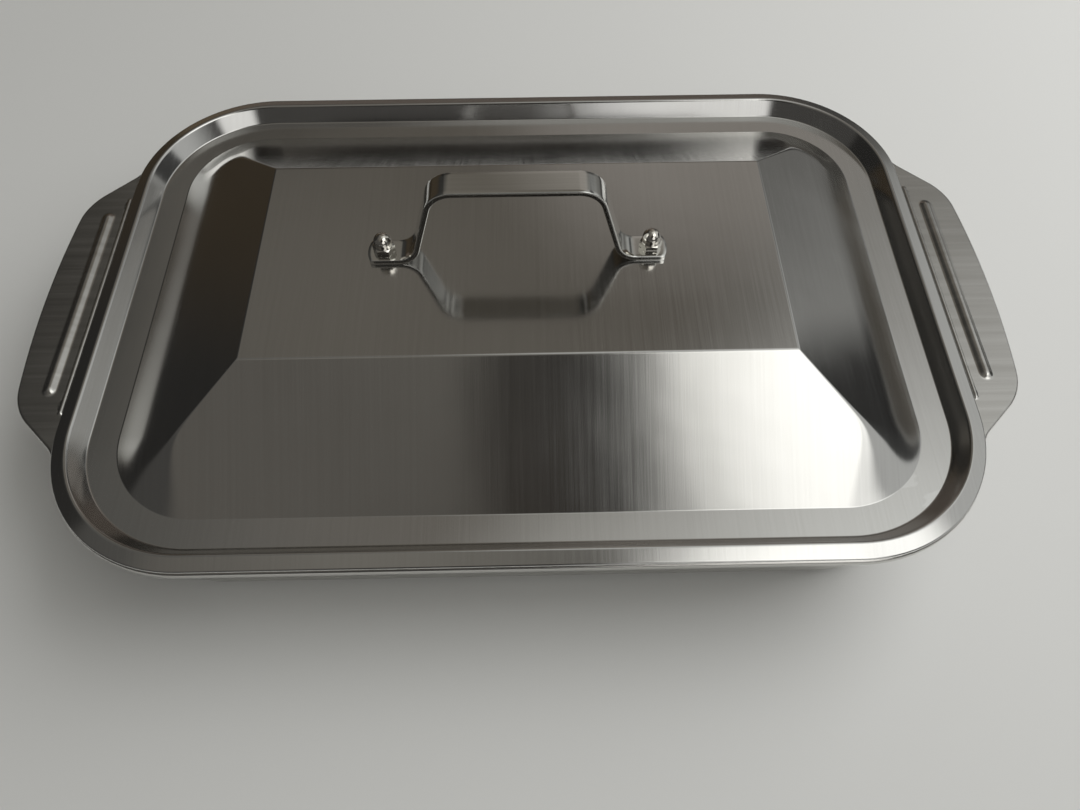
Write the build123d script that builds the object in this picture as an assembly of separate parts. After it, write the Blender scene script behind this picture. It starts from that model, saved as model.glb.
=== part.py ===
from build123d import *
import math
import os

# Covered instrument tray: a drawn stainless pan with two wing ears, and a pressed lid with a
# hipped dome, a strap handle and two cap nuts. Millimetres, +Z up, origin at the centre of the
# pan's floor, on the surface that it stands on. X runs along the tray, from ear to ear.

# ---- Lid: plan half sizes of its concentric outlines, from the hem to the flat panel ----
LID_HALF_X = 161.1
LID_HALF_Y = 111.6
LID_CORNER_R = 52.3
RIM_WIDTH = 5.7
WALL_RUN = 4.0
LEDGE_WIDTH = 10.2
DOME_RUN = 46.7
LID_SHEET = 0.6

# ---- Heights above the floor ----
FLANGE_Z = 50.0
RIM_Z = FLANGE_Z + 2.9
RIM_EDGE_Z = FLANGE_Z + 1.3
LEDGE_Z = FLANGE_Z - 3.6
PANEL_Z = FLANGE_Z + 22.3
HIP_END_Z = PANEL_Z - 12.6

# ---- Lid bends ----
HEM_R = 0.38
HEM_RETURN = 1.9
CHANNEL_R = 1.0
CREASE_R = 0.3

# ---- Pan ----
PAN_SHEET = 0.8
FLANGE_OVERHANG = 0.5
MOUTH_INSET = 7.2
WALL_DRAFT = 0.13
MOUTH_R = 1.4
FLOOR_R = 10.0
LIP_DROP = 2.4
LIP_EDGE_R = 1.1

# ---- Wing ears, each a plate with a bowed edge and two pressed beads ----
EAR_REACH = 183.0
EAR_BOW_R = 400.0
EAR_CORNER_Y = 49.5
EAR_ROOT_Y = 67.2
EAR_CORNER_R = 24.0
EAR_BLEND_R = 14.0
OUTER_BEAD = {"x": 169.0, "length": 89.0, "width": 5.6, "height": 1.3, "taper_deg": 55.0}
INNER_BEAD = {"x": 162.4, "length": 105.0, "width": 2.0, "height": 0.7, "taper_deg": 30.0}

# ---- Strap handle ----
STRAP_WIDTH = 10.0
STRAP_THICK = 2.0
STRAP_HEIGHT = 34.0
STRAP_HALF_LENGTH = 54.0
LEG_FOOT_X = 37.3
LEG_TOP_X = 28.0
FOOT_BEND_R = 7.6
TOP_BEND_R = 9.3
END_ARC_R = 11.0

# ---- M4 fasteners ----
SCREW_X = 48.0
SCREW_R = 2.0
CLEARANCE_R = 2.15
HEAD_R = 4.0
HEAD_HEIGHT = 2.4
HEAD_EDGE_R = 0.8
RECESS_WIDTH = 0.9
RECESS_LENGTH = 4.0
RECESS_DEPTH = 1.2
WASHER_R = 4.5
WASHER_THICK = 0.8
NUT_ACROSS_FLATS = 7.0
NUT_HEX_HEIGHT = 3.2
NUT_CHAMFER_DEG = 30.0
NUT_HEIGHT = 8.0
NUT_DOME_R = 3.25
NUT_BORE_R = 2.04
NUT_BORE_DEPTH = 5.6
THREAD_ENGAGED = 5.0

# ---- Values worked out from the ones above ----
STRAIGHT_X = LID_HALF_X - LID_CORNER_R
STRAIGHT_Y = LID_HALF_Y - LID_CORNER_R
RIM_INNER_X = LID_HALF_X - RIM_WIDTH
WALL_FOOT_X = RIM_INNER_X - WALL_RUN
DOME_FOOT_X = WALL_FOOT_X - LEDGE_WIDTH
DOME_FOOT_Y = LID_HALF_Y - (LID_HALF_X - DOME_FOOT_X)
FLANGE_X = LID_HALF_X + FLANGE_OVERHANG
PAN_WALL_X = LID_HALF_X - MOUTH_INSET
DOME_SLOPE = math.atan2(PANEL_Z - LEDGE_Z, DOME_RUN)
UNDER_PANEL_Z = PANEL_Z - LID_SHEET
FORM_OVERLAP = 1.0
DRILL_LENGTH = 2 * STRAP_THICK


def outline(half_x):
    """A concentric rounded rectangle whose side lies at half_x, as every outline here does."""
    corner = half_x - STRAIGHT_X
    return RectangleRounded(2 * half_x, 2 * (STRAIGHT_Y + corner), corner)


def sheet_ring(points, radii, thickness):
    """Sheet metal bent along the points of a section, carried all the way round the tray.

    The section's x is counted from the line of corner centres, so that one section serves the
    long sides, the short sides and, turned about a corner's centre, the four corners.
    """
    middle_line = FilletPolyline(*[(x - STRAIGHT_X, z) for x, z in points], radius=radii)
    section = trace(middle_line, thickness)
    on_x = Plane(origin=(STRAIGHT_X, 0, 0), x_dir=(1, 0, 0), z_dir=(0, -1, 0))
    on_y = Plane(origin=(0, STRAIGHT_Y, 0), x_dir=(0, 1, 0), z_dir=(1, 0, 0))
    at_corner = Plane(origin=(STRAIGHT_X, STRAIGHT_Y, 0), x_dir=(1, 0, 0), z_dir=(0, -1, 0))
    short_side = extrude(on_x * section, STRAIGHT_Y, both=True)
    long_side = extrude(on_y * section, STRAIGHT_X, both=True)
    corner_axis = Axis((STRAIGHT_X, STRAIGHT_Y, 0), (0, 0, 1))
    corner = revolve(at_corner * section, corner_axis, 90)
    quarter = corner + mirror(corner, Plane.XZ)
    half_ring = quarter + short_side
    return half_ring + mirror(half_ring, Plane.YZ) + long_side + mirror(long_side, Plane.XZ)


def prism(sketch, bottom, top, taper=0.0):
    """A sketch raised from one height to another, leaning inwards by taper degrees."""
    return extrude(Pos(0, 0, bottom) * sketch, top - bottom, dir=(0, 0, 1), taper=taper)


def hip_section(z, inset):
    """The dome's cut at one height: a rectangle whose corners have only the crease's radius."""
    run = inset / math.sin(DOME_SLOPE) + (z - LEDGE_Z) / math.tan(DOME_SLOPE)
    half_x = DOME_FOOT_X - run
    half_y = DOME_FOOT_Y - run
    return Pos(0, 0, z) * RectangleRounded(2 * half_x, 2 * half_y, CREASE_R)


def hipped_form(inset, bottom, top):
    """The solid under the dome: four planes that meet at hips, with a cone patch at each corner."""
    foot = outline(DOME_FOOT_X - inset / math.sin(DOME_SLOPE))
    lower = loft([Pos(0, 0, LEDGE_Z) * foot, hip_section(HIP_END_Z, inset)], ruled=True)
    upper = loft([hip_section(HIP_END_Z, inset), hip_section(top, inset)], ruled=True)
    return prism(foot, bottom, LEDGE_Z) + lower + upper


def lid_shell():
    """One pressed sheet: curled hem, rim, channel wall, ledge and hipped dome."""
    half = LID_SHEET / 2
    hem_x = LID_HALF_X - half
    points = [(DOME_FOOT_X - FORM_OVERLAP, LEDGE_Z - half),
              (WALL_FOOT_X + half, LEDGE_Z - half),
              (RIM_INNER_X + half, RIM_Z - half),
              (hem_x, RIM_EDGE_Z - half),
              (hem_x, FLANGE_Z + half),
              (hem_x - HEM_RETURN, FLANGE_Z + half)]
    ring = sheet_ring(points, [CHANNEL_R, CHANNEL_R, HEM_R, HEM_R], LID_SHEET)
    dome = hipped_form(0, LEDGE_Z - LID_SHEET, PANEL_Z)
    hollow = hipped_form(LID_SHEET, LEDGE_Z - LID_SHEET, UNDER_PANEL_Z)
    shell = ring + dome - hollow
    for side in (-1, 1):
        shell -= Pos(side * SCREW_X, 0, UNDER_PANEL_Z) * Cylinder(CLEARANCE_R, DRILL_LENGTH)
    return shell


def ear_plan(side):
    """One wing ear from above: a bowed outer edge, rounded corners and slanted sides."""
    corner_x = EAR_REACH - EAR_BOW_R + math.sqrt(EAR_BOW_R ** 2 - EAR_CORNER_Y ** 2)
    corners = [(side * corner_x, EAR_CORNER_Y), (side * FLANGE_X, EAR_ROOT_Y),
               (side * STRAIGHT_X, EAR_ROOT_Y), (side * STRAIGHT_X, -EAR_ROOT_Y),
               (side * FLANGE_X, -EAR_ROOT_Y), (side * corner_x, -EAR_CORNER_Y)]
    bow = ThreePointArc(corners[-1], (side * EAR_REACH, 0), corners[0])
    plan = make_face([bow, Polyline(*corners)])
    tips = plan.vertices().filter_by(lambda v: abs(abs(v.X) - corner_x) < 1)
    return fillet(tips, EAR_CORNER_R)


def flange_outline():
    """The flange seen from above: the rounded rectangle with a wing ear on each end."""
    shape = outline(FLANGE_X) + ear_plan(-1) + ear_plan(1)
    grown = offset(shape, EAR_BLEND_R, kind=Kind.ARC)
    return offset(grown, -EAR_BLEND_R, kind=Kind.ARC)


def flange_plate():
    """The flange and both ears, with the turned-down edge round them and the pan's mouth cut out."""
    edge = flange_outline()
    plate = prism(edge, FLANGE_Z - LIP_DROP, FLANGE_Z)
    plate = fillet(plate.faces().sort_by(Axis.Z)[-1].edges(), LIP_EDGE_R)
    plate -= prism(offset(edge, -PAN_SHEET), FLANGE_Z - LIP_DROP, FLANGE_Z - PAN_SHEET)
    mouth_x = PAN_WALL_X + MOUTH_R + 2 * PAN_SHEET
    return plate - prism(outline(mouth_x), FLANGE_Z - LIP_DROP, FLANGE_Z)


def bead_form(bead, side, inset, bottom):
    """A long rounded rib standing on an ear, or with an inset the hollow pressed under it."""
    slot = SlotOverall(bead["length"] - 2 * inset, bead["width"] - 2 * inset, rotation=90)
    top = FLANGE_Z + bead["height"] - inset
    rib = prism(slot, FLANGE_Z - inset, top, bead["taper_deg"])
    stem = prism(slot, bottom, FLANGE_Z - inset)
    return Pos(side * bead["x"], 0, 0) * (rib + stem)


def tray_pan():
    """One drawn sheet: floor, leaning walls, flange with ears and beads, turned-down edge."""
    half = PAN_SHEET / 2
    wall_x = PAN_WALL_X + half
    foot_x = wall_x - WALL_DRAFT * (FLANGE_Z - PAN_SHEET)
    floor_x = foot_x - 2 * FLOOR_R
    points = [(FLANGE_X - 2 * PAN_SHEET, FLANGE_Z - half), (wall_x, FLANGE_Z - half),
              (foot_x, half), (floor_x, half)]
    pan = sheet_ring(points, [MOUTH_R, FLOOR_R], PAN_SHEET)
    pan += prism(outline(floor_x + FORM_OVERLAP), 0, PAN_SHEET)
    pan += flange_plate()
    for side in (-1, 1):
        for bead in (OUTER_BEAD, INNER_BEAD):
            hollow_inset = min(PAN_SHEET, bead["width"] / 4)
            pan += bead_form(bead, side, 0, FLANGE_Z - PAN_SHEET)
            pan -= bead_form(bead, side, hollow_inset, FLANGE_Z - 2 * PAN_SHEET)
    return pan


def strap_plan():
    """The handle from above, with shallow arcs at both ends."""
    half_width = STRAP_WIDTH / 2
    sagitta = END_ARC_R - math.sqrt(END_ARC_R ** 2 - half_width ** 2)
    corner_x = STRAP_HALF_LENGTH - sagitta
    right = ThreePointArc((corner_x, -half_width), (STRAP_HALF_LENGTH, 0), (corner_x, half_width))
    left = ThreePointArc((-corner_x, half_width), (-STRAP_HALF_LENGTH, 0), (-corner_x, -half_width))
    top = Line(right @ 1, left @ 0)
    bottom = Line(left @ 1, right @ 0)
    return make_face(Wire([right, top, left, bottom]))


def lid_handle():
    """A flat strip bent to a bail, with a foot at each end that lies on the lid's panel."""
    half = STRAP_THICK / 2
    low = PANEL_Z + half
    high = PANEL_Z + STRAP_HEIGHT - half
    points = [(-STRAP_HALF_LENGTH, low), (-LEG_FOOT_X, low), (-LEG_TOP_X, high),
              (LEG_TOP_X, high), (LEG_FOOT_X, low), (STRAP_HALF_LENGTH, low)]
    bends = [FOOT_BEND_R, TOP_BEND_R, TOP_BEND_R, FOOT_BEND_R]
    section = Plane.XZ * trace(FilletPolyline(*points, radius=bends), STRAP_THICK)
    strap = extrude(section, STRAP_WIDTH / 2, both=True)
    strap &= prism(strap_plan(), PANEL_Z, PANEL_Z + STRAP_HEIGHT)
    for side in (-1, 1):
        strap -= Pos(side * SCREW_X, 0, low) * Cylinder(CLEARANCE_R, DRILL_LENGTH)
    return strap


def cap_nut(side):
    """A hexagon nut with chamfered corners and a domed cap, blind-bored from below."""
    base = PANEL_Z + STRAP_THICK
    corner_r = NUT_ACROSS_FLATS / math.sqrt(3)
    chamfer = math.tan(math.radians(NUT_CHAMFER_DEG))
    cone_base = NUT_HEX_HEIGHT - (corner_r - NUT_DOME_R) * chamfer
    cone_height = corner_r * chamfer
    cone = Pos(0, 0, cone_base + cone_height / 2) * Cone(corner_r, 0, cone_height)
    barrel = Pos(0, 0, cone_base / 2) * Cylinder(corner_r, cone_base)
    body = prism(RegularPolygon(corner_r, 6), 0, NUT_HEX_HEIGHT) & (cone + barrel)
    dome_z = NUT_HEIGHT - NUT_DOME_R
    body += Pos(0, 0, dome_z / 2) * Cylinder(NUT_DOME_R, dome_z)
    body += Pos(0, 0, dome_z) * Sphere(NUT_DOME_R)
    body -= Pos(0, 0, NUT_BORE_DEPTH / 2) * Cylinder(NUT_BORE_R, NUT_BORE_DEPTH)
    return Pos(side * SCREW_X, 0, base) * body


def handle_screw(side):
    """A pan-head machine screw that comes up from inside the dome."""
    seat = UNDER_PANEL_Z - WASHER_THICK
    tip = PANEL_Z + STRAP_THICK + THREAD_ENGAGED
    length = tip - seat
    shank = Pos(0, 0, seat + length / 2) * Cylinder(SCREW_R, length)
    head = Pos(0, 0, seat - HEAD_HEIGHT / 2) * Cylinder(HEAD_R, HEAD_HEIGHT)
    head = fillet(head.edges().filter_by(GeomType.CIRCLE).sort_by(Axis.Z)[0], HEAD_EDGE_R)
    recess = Box(RECESS_LENGTH, RECESS_WIDTH, 2 * RECESS_DEPTH)
    recess += Box(RECESS_WIDTH, RECESS_LENGTH, 2 * RECESS_DEPTH)
    head -= Pos(0, 0, seat - HEAD_HEIGHT) * recess
    return Pos(side * SCREW_X, 0, 0) * (head + shank)


def screw_washer(side):
    """A flat washer between a screw head and the inside of the lid."""
    disc = Cylinder(WASHER_R, WASHER_THICK) - Cylinder(CLEARANCE_R, DRILL_LENGTH)
    return Pos(side * SCREW_X, 0, UNDER_PANEL_Z - WASHER_THICK / 2) * disc


def main():
    """Build every piece and write one STEP file for each."""
    os.makedirs("parts", exist_ok=True)
    pieces = {"tray_pan": tray_pan(), "lid_shell": lid_shell(), "lid_handle": lid_handle()}
    for name, side in (("left", -1), ("right", 1)):
        pieces["cap_nut_" + name] = cap_nut(side)
        pieces["handle_screw_" + name] = handle_screw(side)
        pieces["screw_washer_" + name] = screw_washer(side)
    for name, piece in pieces.items():
        export_step(piece, "parts/" + name + ".step")


main()
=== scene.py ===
import math

import bmesh
import bpy
from mathutils import Matrix, Vector


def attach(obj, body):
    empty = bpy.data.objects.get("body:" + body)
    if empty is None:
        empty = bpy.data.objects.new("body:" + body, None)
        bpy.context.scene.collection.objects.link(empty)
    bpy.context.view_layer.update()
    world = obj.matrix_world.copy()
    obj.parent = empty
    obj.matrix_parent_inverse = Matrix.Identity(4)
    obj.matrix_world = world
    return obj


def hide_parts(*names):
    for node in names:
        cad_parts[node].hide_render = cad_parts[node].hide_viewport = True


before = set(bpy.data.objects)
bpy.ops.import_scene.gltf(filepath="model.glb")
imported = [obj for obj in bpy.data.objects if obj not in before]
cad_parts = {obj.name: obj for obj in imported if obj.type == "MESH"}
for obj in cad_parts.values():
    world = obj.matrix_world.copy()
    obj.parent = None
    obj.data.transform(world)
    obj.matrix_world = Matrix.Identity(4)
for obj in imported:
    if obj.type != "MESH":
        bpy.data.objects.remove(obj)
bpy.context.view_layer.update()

# Lengths below are in millimetres, and MM turns them into the frame's metres.
MM = 0.001

# ---- Lid: plan half sizes of its concentric outlines, and heights above the floor ----
LID_X = 161.1
LID_Y = 111.6
CORNER_R = 52.3
CORE_X = LID_X - CORNER_R
CORE_Y = LID_Y - CORNER_R
X_TO_Y = LID_X - LID_Y
LID_SHEET = 0.6
FLANGE_Z = 50.0
RIM_Z = 52.9
RIM_EDGE_Z = 51.3
LEDGE_Z = 46.4
PANEL_Z = 72.3
RIM_INNER_X = 155.4
WALL_FOOT_X = 151.4
FOOT_X = 141.2
PANEL_X = 94.5
HIP_END_X = 117.2
HEM_RETURN = 1.9
HEM_R = 0.38
CHANNEL_R = 1.0
FOOT_BEND_R = 0.9
PANEL_BEND_R = 1.6
HIP_SOFTNESS = 6.0
SIDE_SAG = 8.0
SIDE_SAG_END = 0.34
SLOPE_SAG = 0.5

# ---- Pan ----
PAN_SHEET = 0.8
FLANGE_X = 161.6
MOUTH_X = 153.9
MOUTH_R = 1.4
WALL_DRAFT = 0.13
FLOOR_R = 10.0
LIP_DROP = 2.4
LIP_R = 0.7
FLOOR_END_X = 90.0
EAR_REACH = 183.0
EAR_BOW_R = 400.0
EAR_CORNER_Y = 49.5
EAR_ROOT_Y = 67.2
EAR_CORNER_R = 24.0
EAR_BLEND_R = 14.0
OUTER_BEAD = {"x": 169.0, "length": 89.0, "width": 5.6, "height": 1.3, "soft": 0.35}
INNER_BEAD = {"x": 162.4, "length": 105.0, "width": 2.0, "height": 0.7, "soft": 0.3}

# ---- Mesh steps: counts, or millimetres where they are places ----
SECTION_STEP = 1.6
LID_STEPS_X = 36
LID_STEPS_Y = 24
LID_CORNER_STEPS = 24
PANEL_MARGIN = 4.0
LIP_MARGIN = 4.0
EAR_CORNER_STEPS = 32
EAR_BLEND_STEPS = 12
EAR_SLANT_STEP = 1.5
PAN_CORNER_STEPS = 16
PAN_SIDE_STEPS = 10
WALL_STEP = 3.0
BEAD_STEP = 0.2
FLANGE_INNER_STOPS = (0.15, 0.8, 2.0, 3.2, 4.6)
FLANGE_OUTER_STOPS = (5.5, 2.5)
BETWEEN_BEADS_X = 165.4
FLOOR_LOW_Z = 1.2
FLOOR_RING_WIDTH = 20.0
SHEET_WELD = 0.001
TURNED_WELD = 0.0005

# ---- Strap handle and fasteners ----
STRAP_WIDTH = 10.0
STRAP_THICK = 2.0
STRAP_HEIGHT = 34.0
STRAP_END_X = 54.0
STRAP_EDGE_R = 0.22
LEG_FOOT_X = 37.3
LEG_TOP_X = 28.0
FOOT_TURN_R = 7.6
TOP_TURN_R = 9.3
END_ARC_R = 11.0
END_ARC_REACH = 6.0
STRAP_CAP_DEG = (22, 45, 67, 90)
SCREW_X = 48.0
HOLE_R = 2.15
NUT_FLATS = 7.0
NUT_HEX_HEIGHT = 3.2
NUT_HEIGHT = 8.0
NUT_DOME_R = 3.25
NUT_BORE_R = 2.04
NUT_BORE_DEPTH = 5.6
NUT_CHAMFER_DEG = 30.0
NUT_FOOT_STEP = 0.25
NUT_CONE_GAP = 0.1


# ---------------------------------------------------------------- sections and rings

# Shares of a straight side at which extra samples hold it straight beside its corner.
END_HOLDS = (0.9992, 0.996, 0.985)


def bent(points, radii, support=0.15, step_deg=11.0):
    """A section line whose inner corners are turned into tangent arcs, held by close support points."""
    points = [Vector(p) for p in points]
    line = [points[0]]
    for before, corner, after, radius in zip(points, points[1:], points[2:], radii):
        to_before = (before - corner).normalized()
        to_after = (after - corner).normalized()
        half = to_before.angle(to_after) / 2
        reach = radius / math.tan(half)
        centre = corner + (to_before + to_after).normalized() * (radius / math.sin(half))
        start = corner + to_before * reach
        finish = corner + to_after * reach
        turn = (start - centre).angle_signed(finish - centre)
        steps = max(3, math.ceil(abs(math.degrees(turn)) / step_deg))
        line.append(start + to_before * min(support, (before - start).length / 3))
        for k in range(steps + 1):
            spoke = start - centre
            angle = -turn * k / steps
            cos, sin = math.cos(angle), math.sin(angle)
            line.append(centre + Vector((spoke.x * cos - spoke.y * sin, spoke.x * sin + spoke.y * cos)))
        line.append(finish + to_after * min(support, (after - finish).length / 3))
    line.append(points[-1])
    return line


def divided(line, longest):
    """The same line with its long pieces cut into equal ones no longer than that."""
    out = [line[0]]
    for a, b in zip(line, line[1:]):
        count = max(1, math.ceil((b - a).length / longest))
        out += [a.lerp(b, k / count) for k in range(1, count + 1)]
    return out


def spread(count):
    """Sorted positions from -1 to 1: even ones, and close ones that hold both ends straight."""
    values = [k / count for k in range(-count, count + 1)]
    for end in END_HOLDS:
        values += [end, -end]
    return sorted(values)


def perimeter(along_x, along_y, arc_steps):
    """Samples (cx, cy, nx, ny) round a rounded rectangle.

    (cx, cy) is the place on the core rectangle, from -1 to 1 each way, and (nx, ny) is the way out from it.
    """
    samples = []
    quarter = [math.radians(90 * k / arc_steps) for k in range(1, arc_steps)]
    samples += [(s, -1, 0, -1) for s in along_x]
    samples += [(1, -1, math.sin(a), -math.cos(a)) for a in quarter]
    samples += [(1, s, 1, 0) for s in along_y]
    samples += [(1, 1, math.cos(a), math.sin(a)) for a in quarter]
    samples += [(-s, 1, 0, 1) for s in along_x]
    samples += [(-1, 1, -math.sin(a), math.cos(a)) for a in quarter]
    samples += [(-1, -s, -1, 0) for s in along_y]
    samples += [(-1, -1, -math.cos(a), -math.sin(a)) for a in quarter]
    return samples


class Sheet:
    """Vertices, faces and the flat blank's coordinates of a pressed sheet, gathered ring by ring."""

    def __init__(self):
        self.verts = []
        self.blank = []
        self.faces = []

    def ring(self, points, blank):
        start = len(self.verts)
        self.verts += points
        self.blank += blank
        return start

    def bridge(self, first, second, count):
        for k in range(count):
            j = (k + 1) % count
            self.faces.append((first + k, first + j, second + j, second + k))

    def grid(self, xs, ys, z, holes=()):
        """A flat field of quads, with a round hole at each x in holes, on the line y = 0."""
        start = len(self.verts)
        wide = len(xs)
        for y in ys:
            for x in xs:
                self.verts.append((x, y, z))
                self.blank.append((x, y))
        low = max(k for k, y in enumerate(ys) if y < -2 * HOLE_R)
        high = min(k for k, y in enumerate(ys) if y > 2 * HOLE_R)
        blocks = [(max(k for k, x in enumerate(xs) if x < at - 2 * HOLE_R),
                   min(k for k, x in enumerate(xs) if x > at + 2 * HOLE_R)) for at in holes]
        for row in range(len(ys) - 1):
            for col in range(wide - 1):
                if low <= row < high and any(a <= col < b for a, b in blocks):
                    continue
                a = start + row * wide + col
                self.faces.append((a, a + 1, a + wide + 1, a + wide))
        for at, (left, right) in zip(holes, blocks):
            border = [(low, col) for col in range(left, right)]
            border += [(row, right) for row in range(low, high)]
            border += [(high, col) for col in range(right, left, -1)]
            border += [(row, left) for row in range(high, low, -1)]
            around = [start + row * wide + col for row, col in border]
            circle = []
            for v in around:
                spoke = (Vector(self.verts[v][:2]) - Vector((at, 0))).normalized() * HOLE_R
                circle.append(len(self.verts))
                self.verts.append((at + spoke.x, spoke.y, z))
                self.blank.append((at + spoke.x, spoke.y))
            for k in range(len(around)):
                j = (k + 1) % len(around)
                self.faces.append((around[k], around[j], circle[j], circle[k]))

    def make(self, name, grain):
        """The mesh object. Its map runs U along the grain, which is the blank's X or Y."""
        mesh = bpy.data.meshes.new(name)
        mesh.from_pydata([Vector(v) * MM for v in self.verts], [], self.faces)
        layer = mesh.uv_layers.new(name="Blank")
        order = (0, 1) if grain == "X" else (1, 0)
        for loop in mesh.loops:
            flat = self.blank[loop.vertex_index]
            layer.data[loop.index].uv = (flat[order[0]] * MM, flat[order[1]] * MM)
        face_outward(mesh, SHEET_WELD)
        return placed(name, mesh)


def face_outward(mesh, weld_mm=0.0):
    """Joins points that lie within weld_mm of each other and turns every face outward."""
    work = bmesh.new()
    work.from_mesh(mesh)
    if weld_mm:
        bmesh.ops.remove_doubles(work, verts=work.verts, dist=weld_mm * MM)
    bmesh.ops.recalc_face_normals(work, faces=work.faces)
    work.to_mesh(mesh)
    work.free()


def placed(name, data):
    """A new object in the scene that holds a mesh, a light or a camera."""
    obj = bpy.data.objects.new(name, data)
    bpy.context.scene.collection.objects.link(obj)
    return obj


def thicken(obj, thickness):
    """Gives a middle surface its sheet thickness."""
    solid = obj.modifiers.new("Sheet", "SOLIDIFY")
    solid.thickness = thickness * MM
    solid.offset = 0.0
    solid.use_even_offset = False
    solid.use_quality_normals = True


def drill(obj, x, z, radius, depth):
    """Cuts a round upright hole."""
    profile = [(0.0, z - depth), (radius, z - depth), (radius, z + depth), (0.0, z + depth)]
    tool = lathe("drill", profile, segments=48)
    tool.location = (x * MM, 0, 0)
    cut = obj.modifiers.new("Hole", "BOOLEAN")
    cut.operation = "DIFFERENCE"
    cut.solver = "EXACT"
    cut.object = tool
    bake(obj)
    bpy.data.objects.remove(tool)


def bake(obj):
    """Applies the modifiers and marks the sharp edges."""
    bpy.context.view_layer.update()
    evaluated = obj.evaluated_get(bpy.context.evaluated_depsgraph_get())
    mesh = bpy.data.meshes.new_from_object(evaluated)
    obj.modifiers.clear()
    obj.data = mesh
    smooth(obj)


def smooth(obj, limit_deg=38.0):
    """Smooth shading everywhere but across real corners."""
    for polygon in obj.data.polygons:
        polygon.use_smooth = True
    obj.data.set_sharp_from_angle(angle=math.radians(limit_deg))


def lathe(name, profile, segments):
    """A closed turned solid from (radius, z) points, from axis to axis."""
    verts = []
    for radius, z in profile:
        for k in range(segments):
            angle = 2 * math.pi * k / segments
            verts.append(Vector((radius * math.cos(angle), radius * math.sin(angle), z)) * MM)
    faces = []
    for row in range(len(profile) - 1):
        for k in range(segments):
            j = (k + 1) % segments
            a, b = row * segments, (row + 1) * segments
            faces.append((a + k, a + j, b + j, b + k))
    mesh = bpy.data.meshes.new(name)
    mesh.from_pydata(verts, [], faces)
    face_outward(mesh, TURNED_WELD)
    return placed(name, mesh)


# ---------------------------------------------------------------- lid

def corner_radius(x):
    """The lid's corner radius on the ring whose side lies at x.

    The corners are concentric outside the dome, and shrink up the hips.
    """
    if x >= FOOT_X:
        return x - CORE_X
    foot_r = FOOT_X - CORE_X
    level = lambda at: foot_r * (at - HIP_END_X) / (FOOT_X - HIP_END_X)
    soft = lambda v: 0.5 * (v + math.sqrt(v * v + HIP_SOFTNESS ** 2))
    return foot_r * soft(level(x)) / soft(foot_r)


def build_lid():
    half = LID_SHEET / 2
    slope = math.atan2(PANEL_Z - LEDGE_Z, FOOT_X - PANEL_X)
    shift = half * math.tan(slope / 2)
    panel_x = PANEL_X - shift
    foot_x = FOOT_X - shift
    hem_x = LID_X - half
    points = [(panel_x - PANEL_MARGIN, PANEL_Z - half), (panel_x, PANEL_Z - half), (foot_x, LEDGE_Z - half),
              (WALL_FOOT_X + half, LEDGE_Z - half), (RIM_INNER_X + half, RIM_Z - half),
              (hem_x, RIM_EDGE_Z - half), (hem_x, FLANGE_Z + half), (hem_x - HEM_RETURN, FLANGE_Z + half)]
    radii = [PANEL_BEND_R, FOOT_BEND_R, CHANNEL_R, CHANNEL_R, HEM_R, HEM_R]
    line = divided(bent(points, radii), SECTION_STEP)
    core_x = points[0][0] - corner_radius(points[0][0])
    core_y = core_x - X_TO_Y
    along_x = spread(LID_STEPS_X)
    along_y = spread(LID_STEPS_Y)
    samples = perimeter(along_x, along_y, LID_CORNER_STEPS)
    sheet = Sheet()
    stretch = 0.0
    last = None
    rows = []
    for at in line:
        x, z = at.x, at.y
        radius = corner_radius(x)
        cx = x - radius
        cy = x - X_TO_Y - radius
        rise = (foot_x - x) / (foot_x - panel_x)
        if x > foot_x and last is not None:
            stretch += (at - last).length - (x - last.x)
        last = at
        ring, blank = [], []
        for sx, sy, nx, ny in samples:
            px = sx * cx + nx * radius
            py = sy * cy + ny * radius
            sag = 0.0
            if 0 < rise < SIDE_SAG_END:
                sag = SIDE_SAG * rise * (1 - rise / SIDE_SAG_END) ** 2 * nx * nx
            if 0 < rise < 1:
                sag += 4 * SLOPE_SAG * rise * (1 - rise)
            ring.append((px, py, z - sag))
            blank.append((px + nx * stretch, py + ny * stretch))
        rows.append(sheet.ring(ring, blank))
    inner = [(sx * core_x, sy * core_y, PANEL_Z - half) for sx, sy, _, _ in samples]
    rows.insert(0, sheet.ring(inner, [p[:2] for p in inner]))
    for a, b in zip(rows, rows[1:]):
        sheet.bridge(a, b, len(samples))
    sheet.grid([s * core_x for s in along_x], [s * core_y for s in along_y], PANEL_Z - half,
               holes=(-SCREW_X, SCREW_X))
    lid = sheet.make("lid_pressing", "Y")
    thicken(lid, LID_SHEET)
    bake(lid)
    return lid


# ---------------------------------------------------------------- pan

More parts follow.
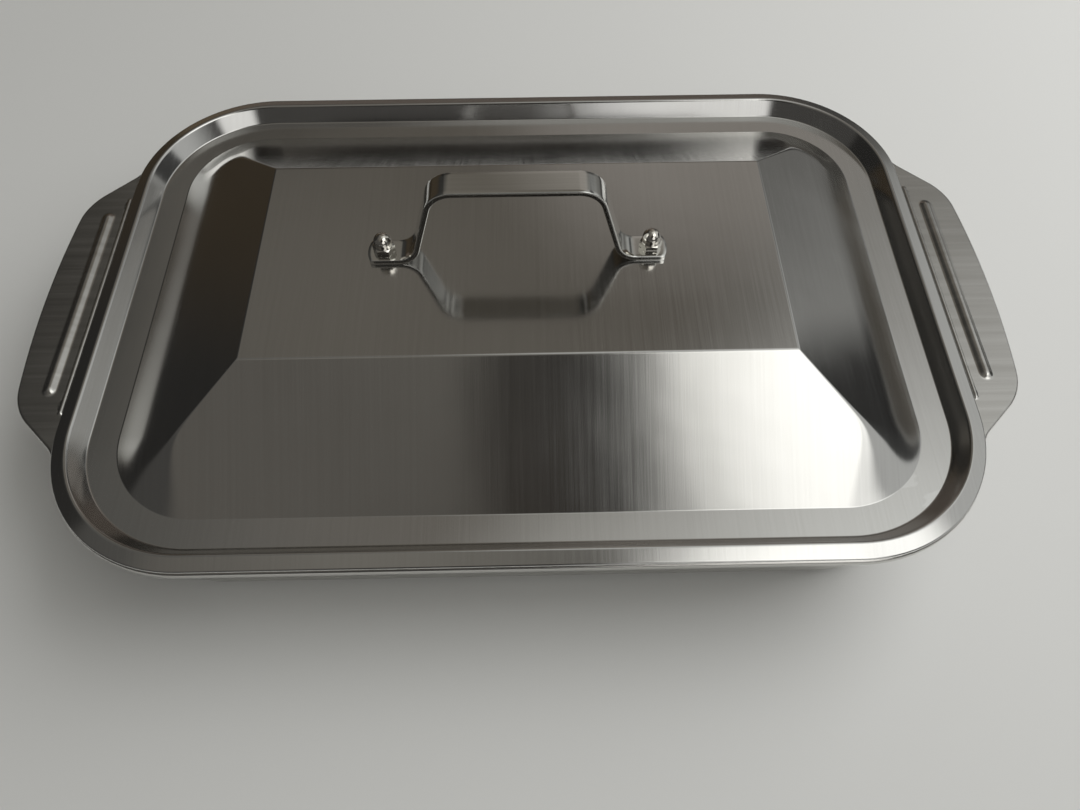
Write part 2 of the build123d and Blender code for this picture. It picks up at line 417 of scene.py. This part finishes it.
def ear_outline():
    """A quarter of the flange's edge, as (point, outward normal) pairs.

    It runs along the ear's bowed side, round its corner, down its slant, through its root, round the pan's
    corner and along half of the long side.
    """
    bow_x = EAR_REACH - EAR_BOW_R
    tip = Vector((bow_x + math.sqrt(EAR_BOW_R ** 2 - EAR_CORNER_Y ** 2), EAR_CORNER_Y))
    slant = (Vector((FLANGE_X, EAR_ROOT_Y)) - tip).normalized()
    out = Vector((slant.y, -slant.x))
    inside = tip - out * EAR_CORNER_R - Vector((bow_x, 0))
    along = inside.dot(slant)
    slide = -along - math.sqrt(along ** 2 - inside.length_squared + (EAR_BOW_R - EAR_CORNER_R) ** 2)
    tip_centre = tip - out * EAR_CORNER_R + slant * slide
    corner_begin = math.atan2(tip_centre.y, tip_centre.x - bow_x)
    corner_end = math.atan2(out.y, out.x)
    arc_r = FLANGE_X - CORE_X
    core = Vector((CORE_X, CORE_Y))
    offset_point = tip + out * EAR_BLEND_R
    to_core = core - offset_point
    foot = to_core.dot(slant)
    miss = to_core.dot(out)
    reach_root = math.sqrt((arc_r + EAR_BLEND_R) ** 2 - miss ** 2)
    root_centre = offset_point + slant * (foot - reach_root)
    line = []
    bow_end = EAR_BOW_R * math.sin(corner_begin)
    wide_steps = [3.0 * k for k in range(12)]
    close_steps = [36.0 + 0.5 * k for k in range(9)]
    for y in wide_steps + close_steps + [bow_end]:
        normal = Vector((math.cos(math.asin(y / EAR_BOW_R)), y / EAR_BOW_R))
        line.append((Vector((bow_x, 0)) + normal * EAR_BOW_R, normal))
    for k in range(1, EAR_CORNER_STEPS + 1):
        angle = corner_begin + (corner_end - corner_begin) * k / EAR_CORNER_STEPS
        normal = Vector((math.cos(angle), math.sin(angle)))
        line.append((tip_centre + normal * EAR_CORNER_R, normal))
    start = root_centre - out * EAR_BLEND_R
    span = (start - line[-1][0]).length
    count = max(2, math.ceil(span / EAR_SLANT_STEP))
    last = line[-1][0]
    line += [(last.lerp(start, k / count), out) for k in range(1, count + 1)]
    to_arc = (core - root_centre).normalized()
    swing = (-out).angle_signed(to_arc)
    for k in range(1, EAR_BLEND_STEPS + 1):
        angle = -swing * k / EAR_BLEND_STEPS
        spoke = Vector((-out.x * math.cos(angle) + out.y * math.sin(angle),
                        -out.x * math.sin(angle) - out.y * math.cos(angle)))
        line.append((root_centre + spoke * EAR_BLEND_R, -spoke))
    begin = math.atan2(-to_arc.y, -to_arc.x)
    for k in range(1, PAN_CORNER_STEPS + 1):
        angle = begin + (math.pi / 2 - begin) * k / PAN_CORNER_STEPS
        normal = Vector((math.cos(angle), math.sin(angle)))
        line.append((core + normal * arc_r, normal))
    for k in range(1, PAN_SIDE_STEPS + 1):
        line.append((Vector((CORE_X * (1 - k / PAN_SIDE_STEPS), CORE_Y + arc_r)), Vector((0, 1))))
    return line


def bead_height(bead, x, y):
    """How far a long rib with even slopes, a rounded crest and soft feet stands up at that place."""
    spine = bead["length"] / 2 - bead["width"] / 2
    dx = abs(x) - bead["x"]
    dy = max(0.0, abs(y) - spine)
    up = 1 - math.hypot(dx, dy) / (bead["width"] / 2)
    soft = bead["soft"]
    if up <= 0:
        return 0.0
    rise = up * up / (2 * soft) if up < soft else up - soft / 2
    crest = 1 - soft
    if rise > crest - soft / 2:
        over = min(rise - crest + soft / 2, soft)
        rise = crest - soft / 2 + over - over * over / (2 * soft)
    return bead["height"] * rise / crest


def build_pan():
    half = PAN_SHEET / 2
    quarter = ear_outline()
    edge = list(quarter)
    edge += [(Vector((-p.x, p.y)), Vector((-n.x, n.y))) for p, n in reversed(quarter[:-1])]
    lower = [(Vector((p.x, -p.y)), Vector((n.x, -n.y))) for p, n in reversed(edge[1:-1])]
    edge += lower
    cores = [Vector((max(-CORE_X, min(CORE_X, p.x)), max(-CORE_Y, min(CORE_Y, p.y)))) for p, _ in edge]
    ways = [(p - c).normalized() for (p, _), c in zip(edge, cores)]
    sheet = Sheet()
    count = len(edge)
    rows = []

    lip_end = (LIP_MARGIN, FLANGE_Z - half)
    lip = bent([(half, FLANGE_Z - LIP_DROP), (half, FLANGE_Z - half), lip_end], [LIP_R])[:-1]
    length = 0.0
    travel = [0.0]
    for a, b in zip(lip, lip[1:]):
        length += (b - a).length
        travel.append(length)
    for at, gone in zip(lip, travel):
        ring = [(p.x - n.x * at.x, p.y - n.y * at.x, at.y) for p, n in edge]
        beyond = length - gone - (lip[-1].x - at.x)
        blank = [(x + n.x * beyond, y + n.y * beyond) for (x, y, _), (_, n) in zip(ring, edge)]
        rows.append(sheet.ring(ring, blank))

    mouth = bent([(FLANGE_X, FLANGE_Z - half), (MOUTH_X + half, FLANGE_Z - half),
                  (MOUTH_X + half - WALL_DRAFT * (FLANGE_Z - PAN_SHEET), half), (FLOOR_END_X, half)],
                 [MOUTH_R, FLOOR_R])
    inner_x = mouth[1].x
    rim = [Vector((p.x - n.x * lip[-1].x, p.y - n.y * lip[-1].x)) for p, n in edge]
    full = EAR_REACH - lip[-1].x - inner_x
    # Across each bead the rings are close, and they run on outward, because they draw in towards its ends.
    stops = list(FLANGE_INNER_STOPS)
    stops += [INNER_BEAD["x"] - inner_x + BEAD_STEP * k for k in range(-7, 12)]
    stops += [BETWEEN_BEADS_X - inner_x]
    stops += [OUTER_BEAD["x"] - inner_x + BEAD_STEP * k for k in range(-15, 24)]
    stops += [full - stop for stop in FLANGE_OUTER_STOPS]
    for stop in sorted(stops, reverse=True):
        ring = []
        for target, core, way in zip(rim, cores, ways):
            near = core + way * (inner_x - CORE_X)
            at = near.lerp(target, stop / full)
            rise = max(bead_height(OUTER_BEAD, at.x, at.y), bead_height(INNER_BEAD, at.x, at.y))
            ring.append((at.x, at.y, FLANGE_Z - half + rise))
        rows.append(sheet.ring(ring, [p[:2] for p in ring]))

    gone = 0.0
    last = mouth[1]
    floor_end = FLOOR_RING_WIDTH + CORE_X
    wall = [p for p in divided(mouth[1:], WALL_STEP) if p.y > FLOOR_LOW_Z or p.x > floor_end]
    for at in wall:
        gone += (at - last).length
        last = at
        out = at.x - CORE_X
        ring = [(c.x + w.x * out, c.y + w.y * out, at.y) for c, w in zip(cores, ways)]
        reach = inner_x - CORE_X - gone
        blank = [(c.x + w.x * reach, c.y + w.y * reach) for c, w in zip(cores, ways)]
        rows.append(sheet.ring(ring, blank))
    flat_floor = [(c.x, c.y, half) for c in cores]
    rows.append(sheet.ring(flat_floor, [p[:2] for p in flat_floor]))
    for a, b in zip(rows, rows[1:]):
        sheet.bridge(a, b, count)
    xs = sorted({round(c.x, 6) for c in cores})
    ys = sorted({round(c.y, 6) for c in cores})
    sheet.grid(xs, ys, half)
    pan = sheet.make("pan_pressing", "X")
    thicken(pan, PAN_SHEET)
    bake(pan)
    return pan


# ---------------------------------------------------------------- handle and nuts

def strap_section(inset):
    """A loop of (across, through) points: a flat bar's section with rounded edges, drawn in by inset."""
    wide = STRAP_WIDTH / 2 - STRAP_EDGE_R
    deep = STRAP_THICK / 2 - STRAP_EDGE_R
    radius = STRAP_EDGE_R - inset
    loop = []
    for cx, cy, first in ((wide, deep, 0), (-wide, deep, 90), (-wide, -deep, 180), (wide, -deep, 270)):
        for k in range(5):
            angle = math.radians(first + 90 * k / 4)
            loop.append((cx + radius * math.cos(angle), cy + radius * math.sin(angle)))
    across = 8
    out = []
    for a, b in zip(loop, loop[1:] + loop[:1]):
        out.append(a)
        if abs(a[0] - b[0]) > STRAP_WIDTH / 2:
            out += [(a[0] + (b[0] - a[0]) * k / across, a[1]) for k in range(1, across)]
    return out


def build_handle():
    low = PANEL_Z + STRAP_THICK / 2
    high = PANEL_Z + STRAP_HEIGHT - STRAP_THICK / 2
    points = [(-STRAP_END_X, low), (-LEG_FOOT_X, low), (-LEG_TOP_X, high),
              (LEG_TOP_X, high), (LEG_FOOT_X, low), (STRAP_END_X, low)]
    line = divided(bent(points, [FOOT_TURN_R, TOP_TURN_R, TOP_TURN_R, FOOT_TURN_R], step_deg=4.0), 2.0)
    caps = [STRAP_EDGE_R * (1 - math.cos(math.radians(a))) for a in STRAP_CAP_DEG]
    left = [Vector((-STRAP_END_X + STRAP_EDGE_R - STRAP_EDGE_R * math.sin(math.radians(a)), low))
            for a in reversed(STRAP_CAP_DEG)]
    right = [Vector((-p.x, p.y)) for p in reversed(left)]
    body = [p for p in line if abs(p.x) <= STRAP_END_X - STRAP_EDGE_R]
    path = left + body + right
    insets = caps[::-1] + [0.0] * len(body) + caps
    verts, faces, blank = [], [], []
    count = len(strap_section(0.0))
    travel = 0.0
    for k, (at, inset) in enumerate(zip(path, insets)):
        ahead = path[min(k + 1, len(path) - 1)]
        behind = path[max(k - 1, 0)]
        way = (ahead - behind).normalized()
        if k:
            travel += (at - behind).length
        up = Vector((-way.y, way.x))
        from_end = STRAP_END_X - abs(at.x)
        share = max(0.0, 1 - from_end / END_ARC_REACH) if abs(at.y - low) < 0.01 else 0.0
        for v, w in strap_section(inset):
            sag = (END_ARC_R - math.sqrt(END_ARC_R ** 2 - v * v)) * share * share * (3 - 2 * share)
            x = at.x + up.x * w - math.copysign(sag, at.x)
            verts.append(Vector((x, v, at.y + up.y * w)) * MM)
            blank.append((travel * MM, (v + w) * MM))
        if k:
            a, b = (k - 1) * count, k * count
            faces += [(a + i, a + (i + 1) % count, b + (i + 1) % count, b + i) for i in range(count)]
    faces.append(tuple(range(count)))
    faces.append(tuple(reversed(range((len(path) - 1) * count, len(path) * count))))
    mesh = bpy.data.meshes.new("strap")
    mesh.from_pydata(verts, [], faces)
    layer = mesh.uv_layers.new(name="Blank")
    for loop in mesh.loops:
        layer.data[loop.index].uv = blank[loop.vertex_index]
    face_outward(mesh)
    obj = placed("strap_handle", mesh)
    for side in (-1, 1):
        drill(obj, side * SCREW_X, low, HOLE_R, STRAP_THICK)
    smooth(obj)
    return obj


def build_nut(side):
    """A cap nut as one turned skin whose lower part is clipped to a hexagon."""
    corner_r = NUT_FLATS / math.sqrt(3)
    chamfer = math.tan(math.radians(NUT_CHAMFER_DEG))
    dome_z = NUT_HEIGHT - NUT_DOME_R
    segments = 144
    profile = [(NUT_BORE_R, 0.0), (corner_r - 2 * NUT_FOOT_STEP, 0.0), (corner_r, NUT_FOOT_STEP)]
    profile += [(corner_r, NUT_FOOT_STEP + NUT_FOOT_STEP * k) for k in range(1, 6)]
    top = NUT_HEX_HEIGHT - (corner_r - NUT_DOME_R) * chamfer
    profile += [(corner_r, z) for z in (top - 0.5, top - 0.2)]
    steps = 10
    cone = corner_r - NUT_DOME_R - NUT_CONE_GAP
    profile += [(corner_r - cone * k / steps, top + cone * chamfer * k / steps) for k in range(steps + 1)]
    profile += [(NUT_DOME_R + 0.03, NUT_HEX_HEIGHT + 0.03), (NUT_DOME_R, NUT_HEX_HEIGHT + 0.12)]
    profile += [(NUT_DOME_R, dome_z)]
    profile += [(NUT_DOME_R * math.cos(math.radians(a)), dome_z + NUT_DOME_R * math.sin(math.radians(a)))
                for a in range(6, 91, 6)]
    verts, faces = [], []
    flat = NUT_FLATS / 2
    for radius, z in profile:
        for k in range(segments):
            angle = 2 * math.pi * k / segments
            within = (angle + math.pi / 6) % (math.pi / 3) - math.pi / 6
            clipped = min(radius, flat / math.cos(within)) if radius > NUT_DOME_R else radius
            verts.append(Vector((clipped * math.sin(angle), clipped * math.cos(angle), z)) * MM)
    bore = [(NUT_BORE_R, 0.0), (NUT_BORE_R, NUT_BORE_DEPTH), (0.0, NUT_BORE_DEPTH)]
    start = len(verts)
    for radius, z in bore:
        for k in range(segments):
            angle = 2 * math.pi * k / segments
            verts.append(Vector((radius * math.sin(angle), radius * math.cos(angle), z)) * MM)
    chains = [range(len(profile)), range(len(profile), len(profile) + len(bore))]
    for chain in chains:
        for row in list(chain)[:-1]:
            for k in range(segments):
                j = (k + 1) % segments
                a, b = row * segments, (row + 1) * segments
                faces.append((a + k, a + j, b + j, b + k))
    mesh = bpy.data.meshes.new("nut")
    mesh.from_pydata(verts, [], faces)
    face_outward(mesh, TURNED_WELD)
    obj = placed("cap_nut_" + ("left" if side < 0 else "right") + "_chrome", mesh)
    mesh.transform(Matrix.Translation(Vector((side * SCREW_X, 0, PANEL_Z + STRAP_THICK)) * MM))
    smooth(obj, limit_deg=28.0)
    return obj


# ---------------------------------------------------------------- materials

class Recipe:
    """A material's node tree, with short calls for the nodes that the finishes share."""

    def __init__(self, name):
        self.material = bpy.data.materials.new(name)
        self.material.use_nodes = True
        self.nodes = self.material.node_tree.nodes
        self.links = self.material.node_tree.links
        self.shader = self.nodes["Principled BSDF"]

    def put(self, socket, value):
        if isinstance(value, bpy.types.NodeSocket):
            self.links.new(value, socket)
        else:
            socket.default_value = value

    def noise(self, place, scale, detail=3.0, distortion=0.0, turn_deg=0.0):
        """Noise from 0 to 1 on coordinates that are turned and stretched."""
        mapping = self.nodes.new("ShaderNodeMapping")
        mapping.inputs["Rotation"].default_value = (0.0, 0.0, math.radians(turn_deg))
        mapping.inputs["Scale"].default_value = scale
        self.links.new(place, mapping.inputs["Vector"])
        texture = self.nodes.new("ShaderNodeTexNoise")
        texture.inputs["Scale"].default_value = 1.0
        texture.inputs["Detail"].default_value = detail
        texture.inputs["Distortion"].default_value = distortion
        self.links.new(mapping.outputs["Vector"], texture.inputs["Vector"])
        return texture.outputs["Fac"]

    def ranged(self, value, low, high, to_low, to_high):
        node = self.nodes.new("ShaderNodeMapRange")
        for socket, number in zip(node.inputs, (value, low, high, to_low, to_high)):
            self.put(socket, number)
        return node.outputs["Result"]

    def sum(self, *values):
        total = values[0]
        for value in values[1:]:
            node = self.nodes.new("ShaderNodeMath")
            node.operation = "ADD"
            self.put(node.inputs[0], total)
            self.put(node.inputs[1], value)
            total = node.outputs["Value"]
        return total

    def bump(self, height, strength, distance, below=None):
        node = self.nodes.new("ShaderNodeBump")
        node.inputs["Strength"].default_value = strength
        node.inputs["Distance"].default_value = distance
        self.links.new(height, node.inputs["Height"])
        if below is not None:
            self.links.new(below, node.inputs["Normal"])
        return node.outputs["Normal"]

    def mixed(self, factor, first, second):
        node = self.nodes.new("ShaderNodeMix")
        node.data_type = "RGBA"
        # The Mix node's colours are its inputs 6 and 7, and its colour result is output 2.
        self.links.new(factor, node.inputs[0])
        node.inputs[6].default_value = (*first, 1.0)
        node.inputs[7].default_value = (*second, 1.0)
        return node.outputs[2]


# Noise scales, in waves per metre: along and across a sheet's grain, or round and along a turned axis.
SHEET_LINES = (30.0, 2600.0, 1.0)
SHEET_SCRATCHES = (16.0, 1500.0, 1.0)
SHEET_STREAK_RUN = 9.0
TURNED_LINES = (60.0, 60.0, 5200.0)
TURNED_SCRATCHES = (300.0, 2600.0, 300.0)
TURNED_STREAK_RUN = 90.0
CLOUDS = (17.0, 17.0, 17.0)
WAVES = (48.0, 48.0, 48.0)
# Heights of the bumps, in metres.
WAVE_HEIGHT = 0.00006
LINE_HEIGHT = 0.00001
SCRATCH_HEIGHT = 0.000004


def steel(name, color, roughness, anisotropy, grain, streaks=0.0, per_metre=800.0, spread=0.07,
          blank=True):
    """Steel with fine grain, broad streaks, cloudy smudges, stray scratches, and a painted highlight that
    lightens the colour of convex edges, which are also made smoother.

    On a pressed sheet the grain runs along U of the blank's map. On a turned piece it runs round the axis.
    """
    recipe = Recipe(name)
    shader = recipe.shader
    shader.inputs["Metallic"].default_value = 1.0
    shader.inputs["Anisotropic"].default_value = anisotropy
    around = recipe.nodes.new("ShaderNodeTexCoord").outputs["Object"]
    if blank:
        uv = recipe.nodes.new("ShaderNodeUVMap")
        uv.uv_map = "Blank"
        place = uv.outputs["UV"]
        tangent = recipe.nodes.new("ShaderNodeTangent")
        tangent.direction_type = "UV_MAP"
        tangent.uv_map = "Blank"
        recipe.links.new(tangent.outputs["Tangent"], shader.inputs["Tangent"])
        lines = recipe.noise(place, SHEET_LINES)
        scratches = recipe.noise(place, SHEET_SCRATCHES, 2.0, turn_deg=17.0)
        broad = recipe.noise(place, (SHEET_STREAK_RUN, per_metre, 1.0), 2.0, distortion=0.35)
    else:
        lines = recipe.noise(around, TURNED_LINES)
        scratches = recipe.noise(around, TURNED_SCRATCHES, 2.0, turn_deg=35.0)
        broad = recipe.noise(around, (TURNED_STREAK_RUN, TURNED_STREAK_RUN, per_metre), 2.0)
    clouds = recipe.noise(around, CLOUDS, 5.0, distortion=0.3)
    waves = recipe.noise(around, WAVES, 1.0)
    geometry = recipe.nodes.new("ShaderNodeNewGeometry")
    # A mask of convex edges from pointiness. It paints a highlight into the colour there and lowers the
    # roughness.
    edge_highlight_mask = recipe.ranged(geometry.outputs["Pointiness"], 0.505, 0.56, 0.0, 1.0)
    marks = recipe.ranged(scratches, 0.70, 0.76, 0.0, 1.0)

    # Colour tone: smudges, streaks and grain lines, plus the painted edge highlight and light scratch
    # marks.
    tone = recipe.sum(recipe.ranged(clouds, 0.3, 0.7, 0.2, 0.6),
                      recipe.ranged(broad, 0.3, 0.7, -streaks, streaks),
                      recipe.ranged(lines, 0.3, 0.7, -0.12, 0.12),
                      recipe.ranged(edge_highlight_mask, 0.0, 1.0, 0.0, 0.5),
                      recipe.ranged(marks, 0.0, 1.0, 0.0, 0.2))
    dark = [c * (1 - spread) * warm for c, warm in zip(color, (1.0, 0.995, 0.985))]
    light = [min(1.0, c * (1 + spread)) for c in color]
    recipe.links.new(recipe.mixed(tone, dark, light), shader.inputs["Base Color"])

    rough = recipe.sum(recipe.ranged(lines, 0.3, 0.7, roughness * 0.85, roughness * 1.15),
                       recipe.ranged(broad, 0.3, 0.7, -0.1 * roughness, 0.1 * roughness),
                       recipe.ranged(clouds, 0.5, 0.75, 0.0, 0.35 * roughness),
                       recipe.ranged(edge_highlight_mask, 0.0, 1.0, 0.0, -0.25 * roughness),
                       recipe.ranged(marks, 0.0, 1.0, 0.0, 0.06))
    recipe.links.new(rough, shader.inputs["Roughness"])

    drawn = recipe.bump(waves, 1.0, WAVE_HEIGHT)
    brushed = recipe.bump(lines, grain, LINE_HEIGHT, drawn)
    recipe.links.new(recipe.bump(marks, 0.2, SCRATCH_HEIGHT, brushed), shader.inputs["Normal"])
    return recipe.material


lid_steel = steel("lid_brushed_steel", (0.60, 0.595, 0.585), roughness=0.12, anisotropy=0.4, grain=0.3,
                  streaks=0.15)
pan_steel = steel("pan_brushed_steel", (0.60, 0.59, 0.57), roughness=0.17, anisotropy=0.6, grain=0.3,
                  streaks=0.6, per_metre=330.0, spread=0.08)
strap_steel = steel("strap_polished_steel", (0.74, 0.74, 0.72), roughness=0.08, anisotropy=0.3, grain=0.15,
                    streaks=0.2)
nut_steel = steel("nut_chrome", (0.74, 0.71, 0.66), roughness=0.05, anisotropy=0.0, grain=0.1,
                  streaks=0.1, spread=0.05, blank=False)
screw_steel = steel("screw_plain_steel", (0.60, 0.60, 0.60), roughness=0.28, anisotropy=0.0, grain=0.3,
                    streaks=0.3, blank=False)

lid = build_lid()
pan = build_pan()
handle = build_handle()
nuts = [build_nut(-1), build_nut(1)]

for piece, body, material, slot, replaced in (
        (lid, "lid", lid_steel, "lid_sheet", "lid_shell"),
        (pan, "tray", pan_steel, "pan_sheet", "tray_pan"),
        (handle, "lid", strap_steel, "strap_steel", "lid_handle"),
        (nuts[0], "lid", nut_steel, "nut_chrome", "cap_nut_left"),
        (nuts[1], "lid", nut_steel, "nut_chrome", "cap_nut_right")):
    piece.data.materials.clear()
    piece.data.materials.append(material)
    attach(piece, body)
    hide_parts(replaced)

for name in ("handle_screw_left", "handle_screw_right", "screw_washer_left", "screw_washer_right"):
    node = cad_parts[name]
    node.data.materials.clear()
    node.data.materials.append(screw_steel)

# ---------------------------------------------------------------- studio

FLOOR_CENTRE = Vector((0.06, -0.10, 0.0))
FLOOR_FULL_R = 0.48
FLOOR_FADED_R = 0.75
FLOOR_COLOR = (0.64, 0.64, 0.625, 1.0)
FLOOR_ROUGHNESS = 0.6
BACKDROP_COLOR = (0.52, 0.52, 0.51, 1.0)


def build_floor():
    """A round pale floor whose rim fades into the pale background."""
    mesh = bpy.data.meshes.new("floor")
    work = bmesh.new()
    bmesh.ops.create_circle(work, cap_ends=True, segments=96, radius=FLOOR_FADED_R,
                            matrix=Matrix.Translation(FLOOR_CENTRE))
    work.to_mesh(mesh)
    work.free()
    obj = placed("floor", mesh)
    material = bpy.data.materials.new("floor_pale")
    material.use_nodes = True
    nodes, links = material.node_tree.nodes, material.node_tree.links
    shader = nodes["Principled BSDF"]
    shader.inputs["Base Color"].default_value = FLOOR_COLOR
    shader.inputs["Roughness"].default_value = FLOOR_ROUGHNESS
    place = nodes.new("ShaderNodeTexCoord").outputs["Object"]
    away = nodes.new("ShaderNodeVectorMath")
    away.operation = "DISTANCE"
    away.inputs[1].default_value = FLOOR_CENTRE
    links.new(place, away.inputs[0])
    fade = nodes.new("ShaderNodeMapRange")
    fade.interpolation_type = "SMOOTHSTEP"
    fade.inputs["From Min"].default_value = FLOOR_FULL_R
    fade.inputs["From Max"].default_value = FLOOR_FADED_R
    fade.inputs["To Min"].default_value = 1.0
    fade.inputs["To Max"].default_value = 0.0
    links.new(away.outputs["Value"], fade.inputs["Value"])
    links.new(fade.outputs["Result"], shader.inputs["Alpha"])
    mesh.materials.append(material)


build_floor()


def toward(azimuth, elevation):
    """A unit direction. Azimuth 0 is +X and 90 is +Y."""
    a, e = math.radians(azimuth), math.radians(elevation)
    return Vector((math.cos(a) * math.cos(e), math.sin(a) * math.cos(e), math.sin(e)))


# Soft boxes and dark flags of the studio: azimuth, elevation, full and faded radius in degrees, colour.
SOFT_BOXES = (
    (8, 38, 20, 48, (0.50, 0.51, 0.50)),
    (-30, 57, 8, 24, (1.15, 1.15, 1.12)),
    (-56, 61, 5, 13, (0.80, 0.80, 0.76)),
    (-100, 80, 8, 22, (0.07, 0.068, 0.06)),
    (-68, 24, 12, 20, (1.00, 1.00, 0.98)),
    (30, 72, 10, 26, (0.37, 0.38, 0.37)),
    (76, 36, 5, 16, (0.20, 0.19, 0.18)),
    (40, 4, 8, 20, (0.10, 0.10, 0.095)),
    (85, 52, 15, 35, (0.038, 0.029, 0.018)),
    (140, 62, 20, 42, (0.050, 0.049, 0.044)),
    (-122, 58, 12, 28, (0.06, 0.054, 0.045)),
    (125, 73, 6, 18, (0.035, 0.034, 0.034)),
    (-88, 53, 3, 8, (0.030, 0.014, 0.004)),
    (92, 5, 14, 28, (0.060, 0.042, 0.030)),
    (128, 6, 8, 22, (0.055, 0.030, 0.002)),
    (-63, 43, 5, 11, (1.10, 1.10, 1.06)),
)
DARK_FLAGS = (
    (-85, 62, 4.5, 8.5, 0.68),
    (47, 31, 4, 8, 0.75),
    (150, 20, 28, 33, 0.62),
    (-95, 44, 9, 15, 0.75),
    (110, 28, 7, 13, 0.55),
    (14, 2, 17, 21, 0.90),
    (-78, 50, 5, 12, 0.45),
    (0, -90, 84, 93, 0.6),
)
AMBIENT = (0.072, 0.070, 0.066)

world = bpy.data.worlds.new("studio")
bpy.context.scene.world = world
world.use_nodes = True
nodes, links = world.node_tree.nodes, world.node_tree.links
background = nodes["Background"]
direction = nodes.new("ShaderNodeTexCoord").outputs["Generated"]


def lobe(azimuth, elevation, full, faded):
    """1 within the full radius of a direction, falling to 0 at the faded radius."""
    dot = nodes.new("ShaderNodeVectorMath")
    dot.operation = "DOT_PRODUCT"
    links.new(direction, dot.inputs[0])
    dot.inputs[1].default_value = toward(azimuth, elevation)
    fade = nodes.new("ShaderNodeMapRange")
    fade.interpolation_type = "SMOOTHSTEP"
    fade.inputs["From Min"].default_value = math.cos(math.radians(faded))
    fade.inputs["From Max"].default_value = math.cos(math.radians(full))
    links.new(dot.outputs["Value"], fade.inputs["Value"])
    return fade.outputs["Result"]


def vector_math(operation, first, second):
    node = nodes.new("ShaderNodeVectorMath")
    node.operation = operation
    for socket, value in zip(node.inputs, (first, second)):
        if isinstance(value, bpy.types.NodeSocket):
            links.new(value, socket)
        else:
            socket.default_value = value
    return node.outputs["Vector"]


glow = AMBIENT
for azimuth, elevation, full, faded, color in SOFT_BOXES:
    glow = vector_math("ADD", vector_math("MULTIPLY", lobe(azimuth, elevation, full, faded), color), glow)
for azimuth, elevation, full, faded, depth in DARK_FLAGS:
    shade = vector_math("MULTIPLY", lobe(azimuth, elevation, full, faded), (depth,) * 3)
    glow = vector_math("MULTIPLY", vector_math("SUBTRACT", (1.0, 1.0, 1.0), shade), glow)
seen = nodes.new("ShaderNodeLightPath")
mix = nodes.new("ShaderNodeMix")
mix.data_type = "RGBA"
links.new(seen.outputs["Is Camera Ray"], mix.inputs[0])
links.new(glow, mix.inputs[6])
mix.inputs[7].default_value = BACKDROP_COLOR
links.new(mix.outputs[2], background.inputs["Color"])


def soft_light(name, azimuth, elevation, distance, width, power):
    """A large square area light that lights the floor and isn't mirrored in the metal."""
    data = bpy.data.lights.new(name, "AREA")
    data.size = width
    data.energy = power
    obj = placed(name, data)
    obj.location = toward(azimuth, elevation) * distance
    obj.rotation_euler = toward(azimuth, elevation).to_track_quat("Z", "Y").to_euler()
    obj.visible_glossy = False
    obj.visible_camera = False


soft_light("window", azimuth=20, elevation=47, distance=1.0, width=0.9, power=6.9)

bpy.context.scene.view_settings.view_transform = "Standard"

# The camera: its sensor and lens in millimetres, its place and clipping in metres.
CAMERA_SENSOR = 36.0
CAMERA_LENS = 27.03
CAMERA_NEAR = 0.01
CAMERA_FAR = 50.0
CAMERA_AT = Vector((0.00468, -0.19933, 0.29689))
CAMERA_DOWN_DEG = 59.12
CAMERA_YAW_DEG = -0.91
CAMERA_ROLL_DEG = -0.25

camera_data = bpy.data.cameras.new("camera")
camera = placed("camera", camera_data)
bpy.context.scene.camera = camera
camera_data.sensor_width = CAMERA_SENSOR
camera_data.lens = CAMERA_LENS
camera_data.clip_start = CAMERA_NEAR
camera_data.clip_end = CAMERA_FAR
camera.matrix_world = (Matrix.Translation(CAMERA_AT)
                       @ Matrix.Rotation(math.radians(CAMERA_YAW_DEG), 4, "Z")
                       @ Matrix.Rotation(math.radians(90 - CAMERA_DOWN_DEG), 4, "X")
                       @ Matrix.Rotation(math.radians(CAMERA_ROLL_DEG), 4, "Z"))
